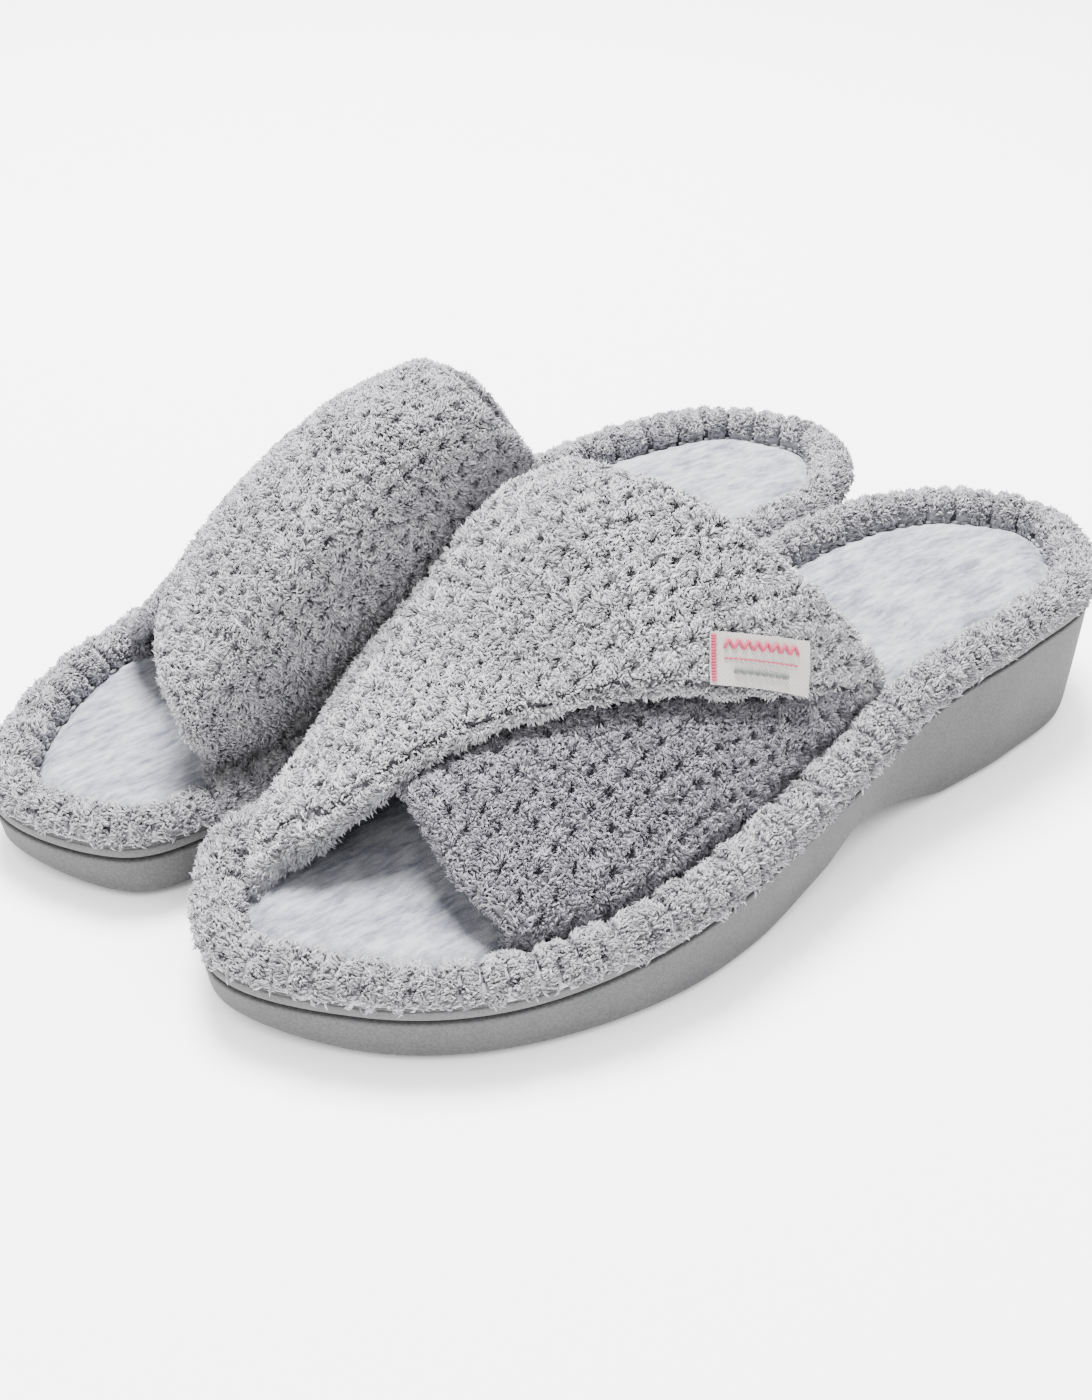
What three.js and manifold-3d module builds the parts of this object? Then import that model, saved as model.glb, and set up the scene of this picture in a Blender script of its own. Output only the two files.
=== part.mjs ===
// A pair of spa slippers: open toe, open back, moulded wedge sole, terry upper of two
// padded straps that cross over the instep.
//
// Millimetres, +Z up, toes towards -Y. Each slipper is worked out in its own frame: X
// towards the little toe, Y from toe to heel, Z up from the ground, origin under the
// middle of the length. The left slipper stands as worked out and the right one is its
// mirror image, turned a little and set beside it. The last lines centre the pair.

import * as THREE from "three";
import { mergeVertices } from "three/addons/utils/BufferGeometryUtils.js";
import Module from "manifold-3d";

const wasm = await Module();
wasm.setup();

// ---------------------------------------------------------------- driving dimensions

const GAP = 0.3; // between pieces that touch

// Sole outline seen from above, toe tip, outer side, heel, inner side, at equal steps.
const OUTLINE = [
  [-5.5, -132.5],
  [25.5, -114],
  [44.5, -85],
  [52.5, -45],
  [46.5, 0],
  [38.5, 40],
  [37, 80],
  [29.5, 114],
  [0.5, 132.5],
  [-27, 114],
  [-37, 80],
  [-36, 40],
  [-37.5, 0],
  [-41, -45],
  [-42, -85],
  [-38, -114],
];
const RING_POINTS = 36; // round the outline, an even number

// Heights along the length, as (y, height) pairs.
const GROOVE_HEIGHT = [
  [-132.5, 11.5],
  [-92, 12.2],
  [-40, 18.2],
  [13, 24.6],
  [66, 33.8],
  [95, 35],
  [132.5, 34.7],
];
const SOLE_UNDERSIDE = [
  [-132.5, 3],
  [-112, 0],
  [-24, 0],
  [3, 5.5],
  [16, 10.8],
  [38, 5.5],
  [56, 0],
  [102, 0],
  [119, 5],
  [132.5, 17],
];

// Sole unit.
const BAND_TALL = 5.4; // sole band, above the groove
const GROOVE_TALL = 0.8;
const GROOVE_DEEP = 1.3;
const SOLE_WALL = 3.2;
const SOLE_FLOOR = 4;
const SOLE_EDGE_INSET = 2.5; // the underside is smaller than the groove line
const TREAD_SLOT = { wide: 3, deep: 1.2, margin: 11 };
const TREAD_ROWS = [-99, -86, -73, -60, -47, -34, 68, 81, 94];

// Inside the sole, measured down from the groove line.
const BOARD_TOP = -2.4;
const BOARD_THICK = 1.6;
const BOARD_INSET = 4.2;

// Footbed, its surface level with the top of the band.
const FOOTBED_INSET = 14;
const COVER_THICK = 1.2;

// Rim roll round the footbed.
const RIM = { outer: -0.5, inner: 9.8, tall: 5.3, skin: 1.8 };
const SEAM = { inset: 13.2, radius: 0.45, below: 1 };

// Straps. Depths are measured inwards from the outside of the upper.
const STRAP_BASE_INSET = 10.6;
const STRAP_MARGIN = 2.5; // sewn down beside the footbed
const UPRIGHT = 6; // the straps stand straight up this far, clear of the rim
const LAYERS = [
  { name: "face", from: 0, thick: 1.8 },
  { name: "foam", from: 2.1, thick: 1.6 },
  { name: "lining", from: 4.0, thick: 0.6 },
];
const STRAP_GRID = { across: 16, along: 6 };
const UNDER_DEPTH = 7.6; // of the under strap where the over strap covers it
const UNDER_FREE_DEPTH = 2.6; // and where nothing covers it
const COVER_START = -24; // it dives this far in front of the over strap's front edge
const COVER_END = -12;
const MARGIN_CLEAR = 20; // the sunk margin stops this far before the strap dives

// The shape that the straps are drawn over, one table for each foot. Across a station it
// is an arch from t = 0 on the outer side to t = 1 on the inner side.
//   crown: height; lean: how far its top sits off centre; outer, inner: exponents of
//   the arch's two halves (2 is an ellipse, more is squarer), each as (y, value) pairs;
//   overhang: how far its inner side may stand out past the sole.
//   over and under: y of a strap's front edge and rear edge, as (t, y) pairs.
const UPPER = {
  left: {
    overhang: 2,
    crown: [[-115, 24.5], [-85, 43.5], [-55, 63.5], [-25, 88], [5, 91.5], [40, 88.5]],
    lean: [[-110, -6], [-50, -32], [20, -22]],
    outer: [[-110, 2.25], [-50, 2.1], [20, 2.8]],
    inner: [[-110, 2.2], [-50, 3], [20, 2.65]],
    over: {
      front: [[0, 24], [0.1, -12], [0.2, -38], [0.4, -81], [0.5, -99], [0.65, -110], [1, -102]],
      rear: [[0, 36], [0.2, 13.5], [0.4, -3], [0.6, -13], [0.8, -11], [1, 12]],
    },
    under: {
      front: [[0, -81], [0.12, -84.5], [0.25, -83.5], [0.4, -80], [0.6, -74.5], [1, -55]],
      rear: [[0, 28], [0.2, 11], [0.4, -7], [0.6, -17], [0.8, -15], [1, 8]],
    },
  },
  right: {
    overhang: -2,
    crown: [[-115, 23], [-85, 51.5], [-55, 81], [-25, 99.5], [5, 103.5], [40, 92]],
    lean: [[-110, -5.5], [-50, -18], [20, -18]],
    outer: [[-110, 2.3], [-50, 2.2], [20, 2.8]],
    inner: [[-110, 2.2], [-50, 3], [20, 2.65]],
    over: {
      front: [[0, 31.5], [0.2, -43.5], [0.4, -83], [0.6, -92], [0.8, -92], [1, -87]],
      rear: [[0, 40], [0.2, 18], [0.4, -9], [0.6, -8], [0.8, 5], [1, 17]],
    },
    under: {
      front: [[0, -81], [0.12, -84.5], [0.25, -83.5], [0.4, -80], [0.6, -74.5], [1, -55]],
      rear: [[0, 28], [0.2, 13], [0.4, -13], [0.6, -12], [0.8, 1], [1, 13]],
    },
  },
};

// Woven label on the outer side of each over strap: its centre on the arch and its size.
const LABEL = { t: 0.112, back: 11.5, long: 28, tall: 12, thick: 0.9 };

// The right slipper beside the left one.
const RIGHT_TURN = THREE.MathUtils.degToRad(-4.1);
const RIGHT_SHIFT = [-81.1, -15.6];

const FINISH = {
  sole: { color: 0x8f9091, roughness: 0.62, metalness: 0 },
  eva: { color: 0xb9bab8, roughness: 0.85, metalness: 0 },
  board: { color: 0x9a8f80, roughness: 0.9, metalness: 0 },
  foam: { color: 0xe6e2d2, roughness: 0.95, metalness: 0 },
  velour: { color: 0xd3d5dc, roughness: 0.95, metalness: 0 },
  terry: { color: 0xa9a9ad, roughness: 1, metalness: 0 },
  lining: { color: 0x8c8c92, roughness: 0.95, metalness: 0 },
  thread: { color: 0xa2a2a6, roughness: 0.8, metalness: 0 },
  label: { color: 0xe9e6e1, roughness: 0.9, metalness: 0 },
};

// ---------------------------------------------------------------- curves

// A smooth function through (place, value) pairs that never swings past them.
function through(pairs) {
  const x = pairs.map((pair) => pair[0]);
  const v = pairs.map((pair) => pair[1]);
  const last = x.length - 1;
  const rise = [];
  for (let i = 0; i < last; i++) rise.push((v[i + 1] - v[i]) / (x[i + 1] - x[i]));
  const slope = x.map((_, i) => {
    if (i === 0) return rise[0];
    if (i === last) return rise[last - 1];
    if (rise[i - 1] * rise[i] <= 0) return 0;
    return 2 / (1 / rise[i - 1] + 1 / rise[i]);
  });
  return (place) => {
    const p = Math.min(Math.max(place, x[0]), x[last]);
    let i = 0;
    while (i < last - 1 && p > x[i + 1]) i++;
    const h = x[i + 1] - x[i];
    const s = (p - x[i]) / h;
    const bend = s * s * (3 - 2 * s);
    return (
      v[i] + (v[i + 1] - v[i]) * bend +
      h * s * (1 - s) * ((1 - s) * slope[i] - s * slope[i + 1])
    );
  };
}

const grooveHeight = through(GROOVE_HEIGHT);
const undersideHeight = through(SOLE_UNDERSIDE);
const bandTop = (y) => grooveHeight(y) + BAND_TALL;

const outlineCurve = new THREE.CatmullRomCurve3(
  OUTLINE.map(([x, y]) => new THREE.Vector3(x, y, 0)),
  true,
  "catmullrom",
  0.5,
);

// Points round the outline, moved inwards by an inset, toe tip first.
function ringAt(inset, count = RING_POINTS) {
  const points = [];
  for (let i = 0; i < count; i++) {
    const p = outlineCurve.getPoint(i / count);
    const along = outlineCurve.getTangent(i / count);
    points.push([p.x - along.y * inset, p.y + along.x * inset]);
  }
  return points;
}

// The x of the outline at y on its outer or inner side, moved inwards by an inset.
function sideLine(inset, outerSide) {
  const points = ringAt(inset, 400);
  const half = points.length / 2;
  const side = points.filter((_, i) => (i <= half) === outerSide);
  side.sort((a, b) => a[1] - b[1]);
  return (y) => {
    const i = Math.max(1, side.findIndex((p) => p[1] >= y));
    const [xa, ya] = side[i - 1];
    const [xb, yb] = side[i];
    return xa + ((xb - xa) * (y - ya)) / (yb - ya);
  };
}

const smoothstep = (from, to, value) => {
  const s = Math.min(Math.max((value - from) / (to - from), 0), 1);
  return s * s * (3 - 2 * s);
};

// ---------------------------------------------------------------- solid builders

function meshFrom(points, faces) {
  const geometry = new THREE.BufferGeometry();
  geometry.setAttribute("position", new THREE.Float32BufferAttribute(points.flat(), 3));
  geometry.setIndex(faces.flat());
  return geometry;
}

// A body between rings of points, closed by a cap on the first ring and on the last.
// The caps run straight across from one side of the outline to the other.
function stack(rings) {
  const n = rings[0].length;
  const faces = [];
  for (let r = 0; r + 1 < rings.length; r++)
    for (let i = 0; i < n; i++) {
      const a = r * n + i;
      const b = r * n + ((i + 1) % n);
      faces.push([a, b, b + n], [a, b + n, a + n]);
    }
  const cap = (base, flip) => {
    for (let i = 0; i < n / 2; i++) {
      const quad = [i, i + 1, n - i - 1, (n - i) % n].map((k) => base + k);
      if (i > 0) faces.push(flip ? [quad[0], quad[3], quad[2]] : [quad[0], quad[2], quad[3]]);
      if (i + 1 < n / 2)
        faces.push(flip ? [quad[0], quad[2], quad[1]] : [quad[0], quad[1], quad[2]]);
    }
  };
  cap(0, true);
  cap((rings.length - 1) * n, false);
  return meshFrom(rings.flat(), faces);
}

// A ring of points at an inset, each at the height that its y gives.
const level = (inset, height) => ringAt(inset).map(([x, y]) => [x, y, height(y)]);

// A closed loop that follows the outline with one section: (inset, height) corners,
// the heights measured from a base line, given clockwise seen along the outline.
function loop(section, base) {
  const rings = section.map(([inset, up]) => level(inset, (y) => base(y) + up));
  const n = RING_POINTS;
  const faces = [];
  rings.forEach((_, r) => {
    const next = ((r + 1) % rings.length) * n;
    for (let i = 0; i < n; i++) {
      const j = (i + 1) % n;
      faces.push([r * n + i, r * n + j, next + j], [r * n + i, next + j, next + i]);
    }
  });
  return meshFrom(rings.flat(), faces);
}

// A thin body between two equal grids of points, closed round its edges.
function sheet(outerGrid, innerGrid) {
  const rows = outerGrid.length;
  const columns = outerGrid[0].length;
  const size = rows * columns;
  const faces = [];
  const at = (r, c) => r * columns + c;
  for (let r = 0; r + 1 < rows; r++)
    for (let c = 0; c + 1 < columns; c++) {
      const quad = [at(r, c), at(r, c + 1), at(r + 1, c + 1), at(r + 1, c)];
      faces.push([quad[0], quad[2], quad[1]], [quad[0], quad[3], quad[2]]);
      const under = quad.map((k) => k + size);
      faces.push([under[0], under[1], under[2]], [under[0], under[2], under[3]]);
    }
  const edge = [];
  for (let c = 0; c + 1 < columns; c++) edge.push([at(0, c), at(0, c + 1)]);
  for (let r = 0; r + 1 < rows; r++) edge.push([at(r, columns - 1), at(r + 1, columns - 1)]);
  for (let c = columns - 1; c > 0; c--) edge.push([at(rows - 1, c), at(rows - 1, c - 1)]);
  for (let r = rows - 1; r > 0; r--) edge.push([at(r, 0), at(r - 1, 0)]);
  for (const [a, b] of edge) faces.push([a, b, b + size], [a, b + size, a + size]);
  return meshFrom([...outerGrid.flat(), ...innerGrid.flat()], faces);
}

function toSolid(geometry) {
  const bare = geometry.clone();
  bare.deleteAttribute("normal");
  bare.deleteAttribute("uv");
  const merged = mergeVertices(bare, 1e-4);
  return new wasm.Manifold(
    new wasm.Mesh({
      numProp: 3,
      vertProperties: new Float32Array(merged.attributes.position.array),
      triVerts: new Uint32Array(merged.index.array),
    }),
  );
}

function toGeometry(solid) {
  const mesh = solid.getMesh();
  const points = [];
  for (let i = 0; i < mesh.numVert; i++)
    points.push([...mesh.vertProperties.slice(i * mesh.numProp, i * mesh.numProp + 3)]);
  return meshFrom(points, [[...mesh.triVerts]]);
}

// ---------------------------------------------------------------- sole and footbed

// Moulded cup sole: tapered wall, open top, arch cut, tread slots in the underside.
function outsole() {
  const floor = (y) => Math.min(undersideHeight(y) + SOLE_FLOOR, grooveHeight(y) - 6);
  const cup = stack([
    level(SOLE_EDGE_INSET, undersideHeight),
    level(0.7, (y) => undersideHeight(y) + 3),
    level(0, grooveHeight),
    level(SOLE_WALL, grooveHeight),
    level(SOLE_WALL, floor),
  ]);
  let solid = toSolid(cup);
  const outerEdge = sideLine(TREAD_SLOT.margin, true);
  const innerEdge = sideLine(TREAD_SLOT.margin, false);
  for (const y of TREAD_ROWS) {
    const wide = outerEdge(y) - innerEdge(y);
    const slot = new THREE.BoxGeometry(wide, TREAD_SLOT.wide, 2 * TREAD_SLOT.deep);
    slot.translate((outerEdge(y) + innerEdge(y)) / 2, y, undersideHeight(y));
    solid = solid.subtract(toSolid(slot));
  }
  return toGeometry(solid);
}

// Soft filler that makes the wedge inside the cup.
function midsole() {
  const inset = SOLE_WALL + GAP;
  const floor = (y) => Math.min(undersideHeight(y) + SOLE_FLOOR, grooveHeight(y) - 6);
  return stack([
    level(inset, (y) => floor(y) + GAP),
    level(inset, (y) => grooveHeight(y) + BOARD_TOP - BOARD_THICK - GAP),
  ]);
}

function insoleBoard() {
  return stack([
    level(BOARD_INSET, (y) => grooveHeight(y) + BOARD_TOP - BOARD_THICK),
    level(BOARD_INSET, (y) => grooveHeight(y) + BOARD_TOP),
  ]);
}

// Band above the groove, standing on the wall of the cup.
function soleBand() {
  return loop(
    [
      [GROOVE_DEEP, GAP],
      [GROOVE_DEEP, GROOVE_TALL],
      [0, GROOVE_TALL + 0.3],
      [0, BAND_TALL - 0.6],
      [0.6, BAND_TALL],
      [SOLE_WALL, BAND_TALL],
      [SOLE_WALL, GAP],
    ],
    grooveHeight,
  );
}

// Terry strip rolled over the rim: from the top of the band, over, and down to the board.
function rimCover() {
  const middle = (RIM.outer + RIM.inner) / 2;
  const half = (RIM.inner - RIM.outer) / 2;
  const arc = (shrink, steps) => {
    const points = [];
    for (let i = 0; i <= steps; i++) {
      const angle = Math.PI * (1 - i / steps);
      points.push([
        middle + (half - shrink) * Math.cos(angle),
        GAP + 1 + (RIM.tall - 1 - GAP - shrink) * Math.sin(angle),
      ]);
    }
    return points;
  };
  const foot = BOARD_TOP + GAP - BAND_TALL;
  return loop(
    [
      [RIM.outer + 0.4, GAP],
      ...arc(0, 5),
      [RIM.inner, foot],
      [RIM.inner - RIM.skin, foot],
      ...arc(RIM.skin, 4).reverse(),
      [RIM.outer + RIM.skin, GAP],
    ],
    bandTop,
  );
}

// Foam bead inside the roll.
function rimCore() {
  const outer = SOLE_WALL + GAP;
  const inner = RIM.inner - RIM.skin - GAP;
  const foot = BOARD_TOP + GAP - BAND_TALL;
  return loop(
    [
      [outer + 1, foot],
      [outer, 0],
      [outer - 0.6, 1.6],
      [(outer + inner) / 2, RIM.tall - RIM.skin - GAP - 0.2],
      [inner, 1.4],
      [inner, foot],
    ],
    bandTop,
  );
}

function footbedFoam() {
  return stack([
    level(FOOTBED_INSET, (y) => grooveHeight(y) + BOARD_TOP + GAP),
    level(FOOTBED_INSET, (y) => bandTop(y) - COVER_THICK - GAP),
  ]);
}

function footbedCover() {
  return stack([
    level(FOOTBED_INSET, (y) => bandTop(y) - COVER_THICK),
    level(FOOTBED_INSET, (y) => bandTop(y) - 0.3),
    level(FOOTBED_INSET + 0.8, bandTop),
  ]);
}

// Thread of the seam that joins footbed, straps and rim, all round the footbed.
function perimeterSeam() {
  const corners = [0, 1, 2, 3, 4].map((k) => {
    const angle = (-2 * Math.PI * k) / 5;
    return [
      SEAM.inset + SEAM.radius * Math.cos(angle),
      -SEAM.below + SEAM.radius * Math.sin(angle),
    ];
  });
  return loop(corners, bandTop);
}

// ---------------------------------------------------------------- straps

const outerBase = sideLine(STRAP_BASE_INSET, true);
const innerBase = sideLine(STRAP_BASE_INSET, false);
const innerOutline = sideLine(0, false);
const SOFTNESS = 1.5; // of the limit on the overhang

// The shape under one foot's straps: a point at station y, t across, at a depth.
function upperForm(upper) {
  const crown = through(upper.crown);
  const lean = through(upper.lean);
  const outerPower = through(upper.outer);
  const innerPower = through(upper.inner);
  return (y, t, depth) => {
    const foot = bandTop(y);
    const height = crown(y) - depth - foot;
    const upright = Math.min(UPRIGHT, height / 2);
    const inner = innerBase(y) + depth;
    const outer = outerBase(y) - depth;
    const c = Math.cos(Math.PI * t);
    const power = 2 / (c > 0 ? outerPower(y) : innerPower(y));
    const across = Math.sign(c) * Math.abs(c) ** power;
    const up = Math.abs(Math.sin(Math.PI * t)) ** power;
    const x = (inner + outer) / 2 + ((outer - inner) / 2) * across + lean(y) * up;
    const limit = innerOutline(y) - upper.overhang + depth;
    const kept = limit + SOFTNESS * Math.log1p(Math.exp((x - limit) / SOFTNESS));
    return [kept, y, foot + upright + (height - upright) * up];
  };
}

// One layer of a strap. The rows of its grid run from side to side, front row first. The
// face goes down beside the footbed, where it is sewn in; the rest ends on the footbed.
function strapLayer(form, edges, layer, depthAt) {
  const front = through(edges.front);
  const rear = through(edges.rear);
  const { across, along } = STRAP_GRID;
  const grid = (extra) => {
    const rows = [];
    for (let i = 0; i <= along; i++) {
      const at = (t) => {
        const y = front(t) + ((rear(t) - front(t)) * i) / along;
        return form(y, t, depthAt(y, t) + layer.from + extra);
      };
      const bottom = (t) => {
        const [x, y] = at(t);
        const sewn = layer.name === "face" && depthAt(y + MARGIN_CLEAR, t) < 0.1;
        return [x, y, bandTop(y) + (sewn ? -STRAP_MARGIN : 2 * GAP)];
      };
      const row = [bottom(0)];
      for (let k = 0; k <= across; k++) row.push(at(k / across));
      row.push(bottom(1));
      rows.push(row);
    }
    return rows;
  };
  return sheet(grid(0), grid(layer.thick));
}

// ---------------------------------------------------------------- the pair

function sectionMesh(name, geometry, finish) {
  const mesh = new THREE.Mesh(geometry, new THREE.MeshStandardMaterial(FINISH[finish]));
  mesh.name = name;
  return mesh;
}

// A rectangle that lies on the over strap, its long side along the front edge.
function label(form, edges) {
  const front = through(edges.front);
  const t0 = LABEL.t;
  const y0 = front(t0) + LABEL.back;
  const at = (y, t) => new THREE.Vector3(...form(y, t, 0));
  const perY = at(y0 + 1, t0).sub(at(y0, t0));
  const perT = at(y0, t0 + 0.01).sub(at(y0, t0)).multiplyScalar(100);
  const slope = (front(t0 + 0.01) - front(t0)) / 0.01;
  const along = perT.addScaledVector(perY, slope);
  const run = along.length();
  along.normalize();
  const slant = perY.dot(along);
  const rise = perY.addScaledVector(along, -slant).length();
  const columns = 5;
  const rows = 3;
  const grid = (depth) => {
    const points = [];
    for (let r = 0; r <= rows; r++) {
      const up = ((r / rows - 0.5) * LABEL.tall) / rise;
      const row = [];
      for (let c = 0; c <= columns; c++) {
        const forward = ((c / columns - 0.5) * LABEL.long - up * slant) / run;
        row.push(form(y0 + up + forward * slope, t0 + forward, depth));
      }
      points.push(row);
    }
    return points;
  };
  return sheet(grid(-GAP - 0.2 - LABEL.thick), grid(-GAP - 0.2));
}

function slipper(side) {
  const group = new THREE.Group();
  const add = (name, geometry, finish) =>
    group.add(sectionMesh(`${side}_${name}`, geometry, finish));
  add("outsole", outsole(), "sole");
  add("midsole", midsole(), "eva");
  add("insole_board", insoleBoard(), "board");
  add("sole_band", soleBand(), "sole");
  add("rim_cover", rimCover(), "terry");
  add("rim_core", rimCore(), "foam");
  add("footbed_foam", footbedFoam(), "foam");
  add("footbed_cover", footbedCover(), "velour");
  add("perimeter_seam", perimeterSeam(), "thread");

  const upper = UPPER[side];
  const form = upperForm(upper);
  const overFront = through(upper.over.front);
  const underDepth = (y, t) => {
    const free = UNDER_FREE_DEPTH * smoothstep(0, 0.15, t);
    const covered = smoothstep(COVER_START, COVER_END, y - overFront(t));
    return free + (UNDER_DEPTH - free) * covered;
  };
  const finishes = { face: "terry", foam: "foam", lining: "lining" };
  for (const layer of LAYERS) {
    const finish = finishes[layer.name];
    const under = strapLayer(form, upper.under, layer, underDepth);
    const over = strapLayer(form, upper.over, layer, () => 0);
    add(`under_strap_${layer.name}`, under, finish);
    add(`over_strap_${layer.name}`, over, finish);
  }
  add("label", label(form, upper.over), "label");
  return group;
}

const pair = new THREE.Group();
const left = slipper("left");
const right = slipper("right");
right.scale.x = -1;
right.rotation.z = RIGHT_TURN;
right.position.set(RIGHT_SHIFT[0], RIGHT_SHIFT[1], 0);
pair.add(left, right);

// Origin on the ground, under the middle of the pair.
pair.updateMatrixWorld(true);
const box = new THREE.Box3().setFromObject(pair, true);
pair.position.set(-(box.min.x + box.max.x) / 2, -(box.min.y + box.max.y) / 2, -box.min.z);

export default pair;
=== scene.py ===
"""Looks of a pair of terry spa slides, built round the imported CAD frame.

Each slipper is worked out in its own frame, in millimetres: X towards the little toe,
Y from toe to heel, Z up from the ground. The left slipper stands as worked out; the right
one is its mirror image, turned and set beside it, and its upper is stuffed fuller.
"""

import math

import bpy
import numpy as np
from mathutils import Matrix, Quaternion, Vector


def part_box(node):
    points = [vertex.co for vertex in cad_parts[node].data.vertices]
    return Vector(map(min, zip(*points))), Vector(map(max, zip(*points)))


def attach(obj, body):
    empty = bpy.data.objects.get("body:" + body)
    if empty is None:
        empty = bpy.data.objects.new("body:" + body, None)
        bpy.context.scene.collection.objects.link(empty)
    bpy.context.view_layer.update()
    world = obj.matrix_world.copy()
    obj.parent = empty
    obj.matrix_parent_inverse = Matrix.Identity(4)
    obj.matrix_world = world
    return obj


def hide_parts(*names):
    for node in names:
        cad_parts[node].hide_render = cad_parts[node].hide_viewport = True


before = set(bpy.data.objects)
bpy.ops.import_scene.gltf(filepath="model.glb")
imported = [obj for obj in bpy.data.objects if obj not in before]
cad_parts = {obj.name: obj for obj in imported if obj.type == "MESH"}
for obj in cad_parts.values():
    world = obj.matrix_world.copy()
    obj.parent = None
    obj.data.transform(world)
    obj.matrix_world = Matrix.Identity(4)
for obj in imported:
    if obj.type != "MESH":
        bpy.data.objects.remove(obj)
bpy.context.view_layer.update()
MM = 0.001

# ---------------------------------------------------------------- shared dimensions

OUTLINE = [
    (-5.5, -132.5), (25.5, -114), (44.5, -85), (52.5, -45), (46.5, 0), (38.5, 40),
    (37, 80), (29.5, 114), (0.5, 132.5), (-27, 114), (-37, 80), (-36, 40),
    (-37.5, 0), (-41, -45), (-42, -85), (-38, -114),
]
GROOVE_HEIGHT = [
    (-132.5, 11.5), (-92, 12.2), (-40, 18.2), (13, 24.6), (66, 33.8), (95, 35),
    (132.5, 34.7),
]
SOLE_UNDERSIDE = [
    (-132.5, 3), (-112, 0), (-24, 0), (3, 5.5), (16, 10.8), (38, 5.5), (56, 0),
    (102, 0), (119, 5), (132.5, 17),
]
BAND_TALL = 5.4  # sole band, above the groove
SOLE_WALL = 3.2
SOLE_ROLL = 3.2  # height of the wall's rounded lower edge
TREAD_ROWS = [-99, -86, -73, -60, -47, -34, 68, 81, 94]
TREAD_SLOT = {"wide": 3, "deep": 1.2, "margin": 11}

RIM_OUTER = -0.6  # inset of the rim roll's outer side
RIM_INNER = 9.8
RIM_TALL = 4.5
STRAP_BASE_INSET = 10.6
UPRIGHT = 6
UNDER_DEPTH = 7.6  # of the under strap's surface where the over strap covers it
UNDER_FREE_DEPTH = 2.6  # and where it is bare

# The shape that the straps are drawn over, and the straps' edges, for each foot.
UPPER = {
    "left": {
        "overhang": 2,
        "crown": [(-115, 24.5), (-85, 43.5), (-55, 63.5), (-25, 88), (5, 91.5), (40, 88.5)],
        "lean": [(-110, -6), (-50, -32), (20, -22)],
        "outer": [(-110, 2.25), (-50, 2.1), (20, 2.8)],
        "inner": [(-110, 2.2), (-50, 3), (20, 2.65)],
        "over": (
            [(0, 24), (0.1, -12), (0.2, -38), (0.4, -81), (0.5, -99), (0.65, -110), (1, -102)],
            [(0, 36), (0.2, 13.5), (0.4, -3), (0.6, -13), (0.8, -11), (1, 12)],
        ),
        "under": (
            [(0, -81), (0.12, -84.5), (0.25, -83.5), (0.4, -80), (0.6, -74.5), (1, -55)],
            [(0, 28), (0.2, 11), (0.4, -7), (0.6, -17), (0.8, -15), (1, 8)],
        ),
    },
    "right": {
        "overhang": -2,
        "crown": [(-115, 23), (-85, 51.5), (-55, 81), (-25, 99.5), (5, 103.5), (40, 92)],
        "lean": [(-110, -5.5), (-50, -18), (20, -18)],
        "outer": [(-110, 2.3), (-50, 2.2), (20, 2.8)],
        "inner": [(-110, 2.2), (-50, 3), (20, 2.65)],
        "over": (
            [(0, 31.5), (0.2, -43.5), (0.4, -83), (0.6, -92), (0.8, -92), (1, -87)],
            [(0, 40), (0.2, 18), (0.4, -9), (0.6, -8), (0.8, 5), (1, 17)],
        ),
        "under": (
            [(0, -81), (0.12, -84.5), (0.25, -83.5), (0.4, -80), (0.6, -74.5), (1, -55)],
            [(0, 28), (0.2, 13), (0.4, -13), (0.6, -12), (0.8, 1), (1, 13)],
        ),
    },
}
LABEL = {"t": 0.112, "back": 11.5, "long": 28, "tall": 12}

RIGHT_TURN = math.radians(-4.1)
RIGHT_SHIFT = (-81.1, -15.6)

# Terry: a staggered lattice of sewn-in dimples, in columns across the cloth.
DIMPLE_COLUMN = 6.3
DIMPLE_PITCH = 5.6
DIMPLE_TILT = 0.15
DIMPLE_HALF = (0.95, 1.25)  # half a dimple's width and length

# ---------------------------------------------------------------- curves


def through(pairs):
    """A smooth function through (place, value) pairs that never swings past them."""
    x, v = np.array(pairs, float).T
    rise = np.diff(v) / np.diff(x)
    before, after = rise[:-1], rise[1:]
    same = before * after > 0
    total = np.where(same, before + after, 1)
    middle = np.where(same, 2 * before * after / total, 0)
    slope = np.concatenate([rise[:1], middle, rise[-1:]])

    def value(place):
        p = np.clip(place, x[0], x[-1])
        i = np.clip(np.searchsorted(x, p) - 1, 0, len(x) - 2)
        h = x[i + 1] - x[i]
        s = (p - x[i]) / h
        bend = s * s * (3 - 2 * s)
        swing = h * s * (1 - s) * ((1 - s) * slope[i] - s * slope[i + 1])
        return v[i] + (v[i + 1] - v[i]) * bend + swing

    return value


def smoothstep(low, high, value):
    s = np.clip((value - low) / (high - low), 0, 1)
    return s * s * (3 - 2 * s)


groove_height = through(GROOVE_HEIGHT)
underside = through(SOLE_UNDERSIDE)


def band_top(y):
    return groove_height(y) + BAND_TALL


def ring(u, inset=0.0):
    """Points of the sole outline at shares u of its length, moved inwards by an inset."""
    p = np.array(OUTLINE, float)
    q = np.mod(u, 1) * len(p)
    i = np.floor(q).astype(int)
    s = (q - i)[..., None]
    a, b, c, d = (p[(i + k) % len(p)] for k in (-1, 0, 1, 2))
    m, n = (c - a) / 2, (d - b) / 2
    square = 3 * (c - b) - 2 * m - n
    cube = 2 * (b - c) + m + n
    at = b + m * s + square * s**2 + cube * s**3
    along = m + 2 * square * s + 3 * cube * s**2
    along /= np.linalg.norm(along, axis=-1, keepdims=True)
    inwards = np.stack([-along[..., 1], along[..., 0]], -1)
    return at + inwards * np.asarray(inset)[..., None]


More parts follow.
